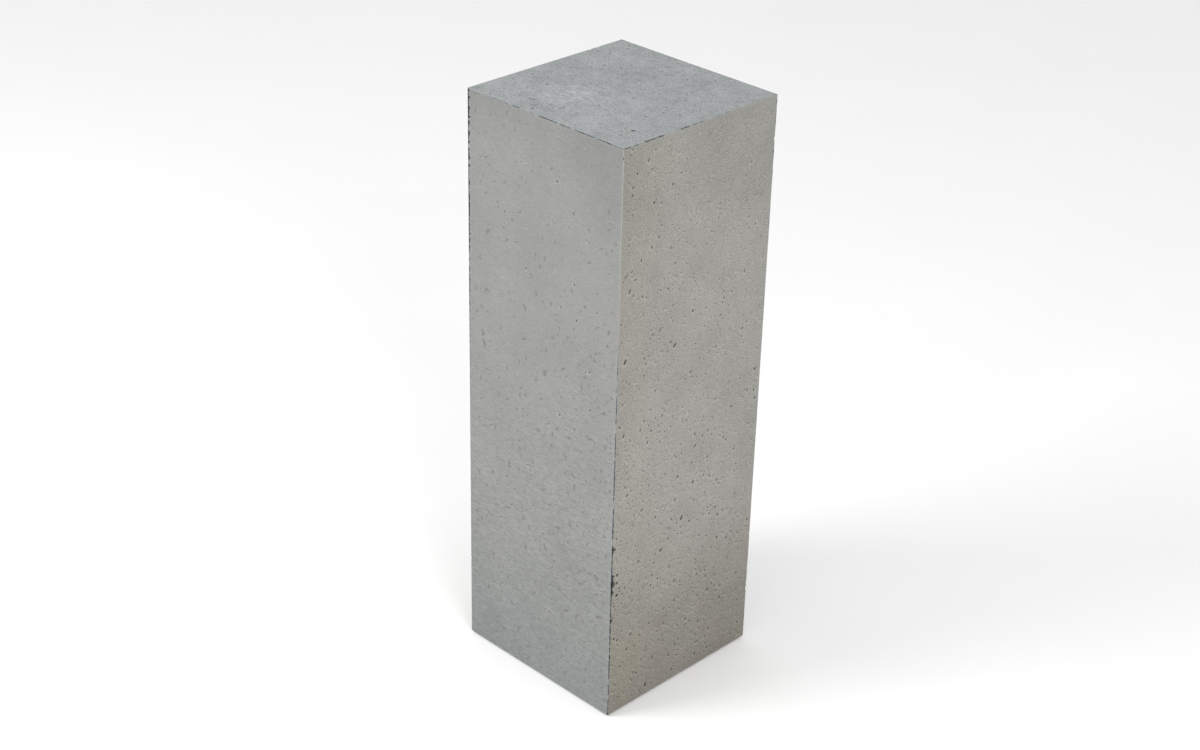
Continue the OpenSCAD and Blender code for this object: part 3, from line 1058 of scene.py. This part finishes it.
def stud_shape(foot):
    """Plain end, hexagonal collar with turned corners and thread, from below."""
    low, high = box_mm(f"{foot}_foot_stud")
    corner = (high.x - low.x) / 2
    flats = min(high.x - low.x, high.y - low.y)
    radius = STUD_RADIUS
    count = round((high.z - COLLAR_HIGH) / THREAD_PITCH * THREAD_ROWS)
    thread = np.linspace(COLLAR_HIGH, high.z, count)
    collar = [(COLLAR_LOW, flats / 2 - 0.4), (COLLAR_LOW + 0.05, flats / 2 - 0.2),
              (COLLAR_LOW + 0.8, corner), (COLLAR_HIGH - 0.8, corner),
              (COLLAR_HIGH - 0.05, flats / 2 - 0.2), (COLLAR_HIGH, flats / 2 - 0.4)]
    radii = [radius - 0.6, radius, radius] + [hex_radii(flats, most) for _, most in collar]
    heights = [low.z, low.z + 0.6, COLLAR_LOW] + [z for z, _ in collar]
    radii += [thread_radii(z, radius, COLLAR_HIGH, high.z) for z in thread]
    heights += list(thread)
    return radii, heights


def glide_shape(foot):
    """From the recess for the pad, over the ribbed rim and the dome, into the socket."""
    low, high = box_mm(f"{foot}_foot_glide")
    pad_low, pad_high = box_mm(f"{foot}_foot_pad")
    half, pad = (high.x - low.x) / 2, (pad_high.x - pad_low.x) / 2
    socket, floor = STUD_RADIUS + 0.05, box_mm(f"{foot}_foot_stud")[0].z
    rim = low.z + GLIDE_RIM
    grip = 0.22 * (1 + np.cos(GRIP_RIBS * round_the_axis(GLIDE_AROUND)))
    profile = [
        (pad, pad_high.z), (pad, low.z + 0.2), (pad + 0.2, low.z), (half - 0.8, low.z),
        (half - 0.3, low.z + 0.2), (half - 0.05, low.z + 0.6), (half - grip, low.z + 0.9),
        (half - grip, rim - 0.7), (half - 0.05, rim - 0.35), (half - 0.3, rim),
        (half - 1.0, rim + 0.55), (half - 3.4, rim + 2.9), (GLIDE_TOP + 1.1, high.z - 1.2),
        (GLIDE_TOP + 0.5, high.z - 0.5), (GLIDE_TOP - 0.1, high.z - 0.1),
        (GLIDE_TOP - 0.8, high.z), (socket + 0.5, high.z), (socket, high.z - 0.4),
        (socket, floor)]
    return zip(*profile, strict=True)


def pad_shape(foot):
    """A disc with two grooves and a dished middle underneath."""
    low, high = box_mm(f"{foot}_foot_pad")
    half = (high.x - low.x) / 2 - 0.06
    profile = [(2.2, 0.45), (2.7, 0.3), (3.0, 0)]
    for groove in (6.0, 10.2):
        profile += [(groove - 0.7, 0), (groove - 0.4, 0.5), (groove + 0.4, 0.5),
                    (groove + 0.7, 0)]
    profile += [(half - 0.7, 0), (half - 0.2, 0.15), (half, 0.6), (half, high.z - 0.3),
                (half - 0.3, high.z)]
    return zip(*profile, strict=True)


def levelling_feet():
    steel, nylon, rubber = zinc_steel("zinc_stud"), moulded_nylon(), pad_rubber()
    parts = [
        ("stud", stud_shape, STUD_AROUND, "stud", "zinc_steel", steel),
        ("glide", glide_shape, GLIDE_AROUND, "glide", "nylon", nylon),
        ("pad", pad_shape, GLIDE_AROUND, "glide", "pad_rubber", rubber)]
    for foot in FEET:
        low, high = box_mm(f"{foot}_foot_pad")
        axis = np.array([(low.x + high.x) / 2, (low.y + high.y) / 2, 0])
        for part, shape, around, body, slot, material in parts:
            radii, heights = shape(foot)
            points = rings(radii, heights, around) + axis
            faces = loft(len(points) // around, around)
            piece = make_piece(f"{foot}_{part}_made", points, faces)
            stand_for(piece, f"{foot}_foot_{part}", f"{foot}_{body}", slot, material)


def zinc_steel(name):
    """Zinc-plated steel, dulled in patches, with faint yellow and blue passivation."""
    g = Graph(name)
    patches = g.noise(9, 3, shift=21)
    tint = g.ramp(g.noise(6, 2, shift=22), [
        (0.35, (0.53, 0.56, 0.60)), (0.5, (0.60, 0.60, 0.59)), (0.68, (0.62, 0.57, 0.45))])
    colour = g.mix(g.spread(patches, 0.4, 0.75, 0, 0.5), tint, (0.36, 0.36, 0.35))
    scratches = g.noise(0.8, 3, (1, 1, 8), 0.7, 23)
    roughness = g.spread(g.plus(patches, scratches), 0.7, 1.3, 0.28, 0.5)
    return g.done(colour, roughness, g.bump(scratches, 0.02), metallic=1.0)


def moulded_nylon():
    """Black nylon with a fine moulded texture, scuffed grey in streaks."""
    g = Graph("moulded_nylon")
    scuffs = g.times(g.noise(1.2, 3, (6, 6, 1), 0.7, 31), g.noise(12, 2, shift=32))
    colour = g.mix(g.spread(scuffs, 0.26, 0.42, 0, 0.6), (0.018, 0.018, 0.019),
                   (0.075, 0.075, 0.078))
    grain = g.noise(0.35, 2, roughness=0.7, shift=33)
    roughness = g.spread(scuffs, 0.2, 0.4, 0.42, 0.62)
    return g.done(colour, roughness, g.bump(grain, 0.03))


def pad_rubber():
    """Dark rubber, dusty in patches and speckled with fine filler."""
    g = Graph("rubber_pad")
    dust = g.times(g.noise(7, 3, shift=41), g.noise(0.8, 2, shift=42))
    colour = g.mix(g.spread(dust, 0.2, 0.42, 0, 0.7), (0.024, 0.023, 0.022), (0.12, 0.115, 0.105))
    speck = g.cells(0.5)[0]
    colour = g.mix(g.spread(speck, 0.1, 0.25, 0.5, 0), colour, (0.07, 0.07, 0.07))
    return g.done(colour, g.spread(dust, 0.1, 0.4, 0.75, 0.92), g.bump(speck, 0.05), specular=0.3)


# ---- carcass, adhesive and hardware: the CAD nodes with materials ----

PLY_MM = 2.4
BIRCH = ((0.47, 0.33, 0.19), (0.60, 0.45, 0.28), (0.68, 0.54, 0.37))
PLY_DARK = (0.33, 0.21, 0.115)
PLY_CROSSED = (0.40, 0.265, 0.15)
GLUE_LINE = (0.11, 0.06, 0.035)
RING_MM = 2.6  # a year's growth in the pine


def plywood(name, thin, start, grain):
    """Birch plywood. thin: the axis through the plies. start: where they begin along it.

    grain: the axis of the face veneer's grain. The edges show alternating plies."""
    g = Graph(name)

    def stretched(times):
        return tuple(times if axis == grain else 1 for axis in "XYZ")

    fibres = g.noise(2.4, 4, stretched(26), 0.6, 51)
    figure = g.noise(34, 2, stretched(4), 0.5, 52)
    tone = g.plus(g.times(fibres, 0.6), g.times(figure, 0.5))
    veneer = g.ramp(tone, [(0.38, BIRCH[0]), (0.53, BIRCH[1]), (0.7, BIRCH[2])])
    pores = g.noise(0.7, 2, stretched(12), 0.5, 53)
    veneer = g.mix(g.spread(pores, 0.62, 0.74, 0, 0.6), veneer, PLY_DARK)
    layer = g.over(g.minus(g.along(thin), start * MM), PLY_MM * MM)
    crossed = g.spread(g.math("PINGPONG", g.plus(layer, 0.5), 1), 0.42, 0.58)
    glue = g.spread(g.math("PINGPONG", layer, 0.5), 0.0, 0.06, 0.7, 0)
    rough_cut = g.noise(0.9, 3, shift=54)
    plies = g.mix(crossed, BIRCH[1], PLY_CROSSED)
    plies = g.mix(g.times(glue, rough_cut), plies, GLUE_LINE)
    plies = g.mix(g.spread(rough_cut, 0.45, 0.7, 0, 0.5), plies, PLY_DARK)
    normal = g.node("ShaderNodeTexCoord").outputs["Normal"]
    edge = g.spread(g.math("ABSOLUTE", g.along(thin, normal)), 0.4, 0.8, 1, 0)
    colour = g.mix(edge, veneer, plies)
    height = g.plus(g.times(fibres, 0.5), g.times(rough_cut, edge))
    return g.done(colour, g.spread(tone, 0.4, 0.7, 0.62, 0.78), g.bump(height, 0.12), specular=0.3)


def pine(name, middle):
    """Planed pine whose growth rings stand round an axis beside the batten."""
    g = Graph(name)
    warp = g.times(g.noise(30, 2, (1, 1, 9), 0.5, 61), 7 * MM)
    pith = g.from_axis(middle.x + 16, middle.y - 11)
    ring = g.over(g.plus(pith, warp), RING_MM * MM)
    late = g.math("POWER", g.math("FRACT", ring), 2.4)
    fibres = g.noise(1.3, 3, (1, 1, 30), 0.6, 62)
    colour = g.ramp(g.plus(g.times(late, 0.75), g.times(fibres, 0.3)), [
        (0.1, (0.71, 0.55, 0.34)), (0.5, (0.62, 0.43, 0.22)), (0.95, (0.42, 0.235, 0.095))])
    normal = g.bump(late, 0.05, g.bump(fibres, 0.1))
    return g.done(colour, g.spread(fibres, 0.3, 0.7, 0.55, 0.72), normal, specular=0.35)


def panel_adhesive():
    """Cured panel adhesive, off-white, wrinkled and smeared."""
    g = Graph("panel_adhesive")
    wrinkles = g.noise(4, 4, (1, 1, 2), 0.65, 71)
    colour = g.ramp(wrinkles, [
        (0.3, (0.42, 0.38, 0.30)), (0.5, (0.56, 0.52, 0.44)), (0.7, (0.64, 0.61, 0.54))])
    fine = g.bump(g.noise(0.9, 2, shift=72), 0.08)
    return g.done(colour, g.spread(wrinkles, 0.3, 0.7, 0.4, 0.62), g.bump(wrinkles, 0.6, fine))


BEAD_PITCH = 100
BEAD_STEP = 5  # distance between the sections of a bead of adhesive


def bead_points(length, half_width, thick, offset, seed):
    """A squeezed bead as (across, along, out) points: wavy edges, rounded sides and ends."""
    along = np.linspace(-length / 2, length / 2, round(length / BEAD_STEP) + 1)
    ends = np.sqrt(np.clip((length / 2 - np.abs(along)) / (2 * half_width), 0.04, 1))
    left = half_width * np.clip(0.8 + 0.22 * wander(along, 31, seed), 0.5, 1) * ends
    right = half_width * np.clip(0.8 + 0.22 * wander(along, 27, seed + 3), 0.5, 1) * ends
    sections = []
    for t, a, b in zip(along, left, right, strict=True):
        for x, out in ((-a, 0.5), (-0.9 * a, 0.15), (-0.8 * a, 0), (0.8 * b, 0), (0.9 * b, 0.15),
                       (b, 0.5), (0.9 * b, 0.85), (0.8 * b, 1), (-0.8 * a, 1), (-0.9 * a, 0.85)):
            sections.append((offset + x, t, out * thick))
    return np.array(sections), loft(len(along), 10)


def adhesive_beads():
    """Three beads to a panel, pressed out between it and the carcass."""
    glue = panel_adhesive()
    side_low, side_high = box_mm("front_adhesive_beads")
    top_low, top_high = box_mm("top_adhesive_beads")
    middle = (side_low.z + side_high.z) / 2
    half_width, thick = side_high.x - BEAD_PITCH, top_high.z - top_low.z
    for turn, name in enumerate((*SIDES, "top")):
        length = top_high.x - top_low.x if name == "top" else side_high.z - side_low.z
        points, faces = [], []
        for n in (-1, 0, 1):
            seed = 10 * turn + n
            bead, skin = bead_points(length, half_width, thick, n * BEAD_PITCH, seed)
            faces += [[k + len(points) for k in face] for face in skin]
            for across, along, out in bead:
                if name == "top":
                    points.append((along, across, top_low.z + out))
                else:
                    place = quarter_turns(across, side_high.y - out, turn)
                    points.append((*place, middle + along))
        piece = make_piece(f"{name}_adhesive_squeezed", points, faces)
        stand_for(piece, f"{name}_adhesive_beads", "plinth", "adhesive", glue)


def dress(nodes, material):
    """Gives carried-over CAD nodes a material of their own slot."""
    for node in nodes:
        for slot in bpy.data.objects[node].material_slots:
            slot.link = "OBJECT"
            slot.material = material


def carcass_and_hardware():
    for name, thin, grain in (("front", "Y", "Z"), ("right", "X", "Z"), ("back", "Y", "Z"),
                              ("left", "X", "Z"), ("top", "Z", "X")):
        board = f"{name}_carcass_board"
        start = box_mm(board)[0]["XYZ".index(thin)]
        dress([board], plywood(f"{name}_plywood", thin, start, grain))
    for board in ("base_board", "mid_stiffener"):
        dress([board], plywood(f"{board}_plywood", "Z", box_mm(board)[0].z, "Y"))
    for foot in FEET:
        batten = f"{foot}_corner_batten"
        low, high = box_mm(batten)
        dress([batten], pine(f"{foot}_pine", (low + high) / 2))
    screws = ("corner_screws", "base_board_screws", "stiffener_screws", "top_board_screws")
    dress([*screws, "base_board_tee_nuts"], zinc_steel("zinc_hardware"))


# ---- stage, light and camera ----

WORLD_LIGHT = 0.85
FLOOR_HALF = 8.0
LIGHT_SIZE = 1.6
LIGHT_AIM = Vector((0, 0, 0.45))


def stage_and_light():
    mesh = bpy.data.meshes.new("floor")
    corners = [(-1, -1), (1, -1), (1, 1), (-1, 1)]
    mesh.from_pydata([(x * FLOOR_HALF, y * FLOOR_HALF, 0) for x, y in corners], [], [range(4)])
    floor = in_scene("floor", mesh)
    g = Graph("floor")
    shade = g.mix(g.noise(300, 2), (0.9, 0.9, 0.9), (0.93, 0.93, 0.93))
    floor.data.materials.append(g.done(shade, 0.9, specular=0.2))
    world = bpy.data.worlds.new("studio")
    world.use_nodes = True
    background = world.node_tree.nodes["Background"]
    background.inputs["Color"].default_value = (1, 1, 1, 1)
    background.inputs["Strength"].default_value = WORLD_LIGHT
    bpy.context.scene.world = world
    soft_light("key", (-1.4, -2.4, 2.6), 56)
    soft_light("fill", (2.6, -1.2, 2.2), 38)


def soft_light(name, at, watts):
    light = bpy.data.lights.new(name, "AREA")
    light.shape = "DISK"
    light.size = LIGHT_SIZE
    light.energy = watts
    lamp = in_scene(name, light)
    lamp.location = at
    lamp.rotation_euler = (LIGHT_AIM - Vector(at)).to_track_quat("-Z", "Y").to_euler()


def set_camera():
    a, e = math.radians(CAMERA_AZIMUTH), math.radians(CAMERA_ELEVATION)
    back = Vector((math.sin(a) * math.cos(e), -math.cos(a) * math.cos(e), math.sin(e)))
    right = Vector((0, 0, 1)).cross(back).normalized()
    axes = Matrix((right, back.cross(right), back)).transposed()
    axes = axes @ Matrix.Rotation(math.radians(CAMERA_ROLL), 3, "Z")
    target = Vector((0, 0, AIM_HEIGHT)) - right * AIM_LEFT
    camera = in_scene("camera", bpy.data.cameras.new("camera"))
    camera.data.lens = CAMERA_LENS
    camera.data.sensor_width = 36
    camera.matrix_world = Matrix.Translation(target + back * CAMERA_DISTANCE) @ axes.to_4x4()
    bpy.context.scene.camera = camera
    bpy.context.scene.view_settings.view_transform = "Standard"


set_camera()
stage_and_light()
concrete_shell()
joint_fillers()
levelling_feet()
carcass_and_hardware()
adhesive_beads()
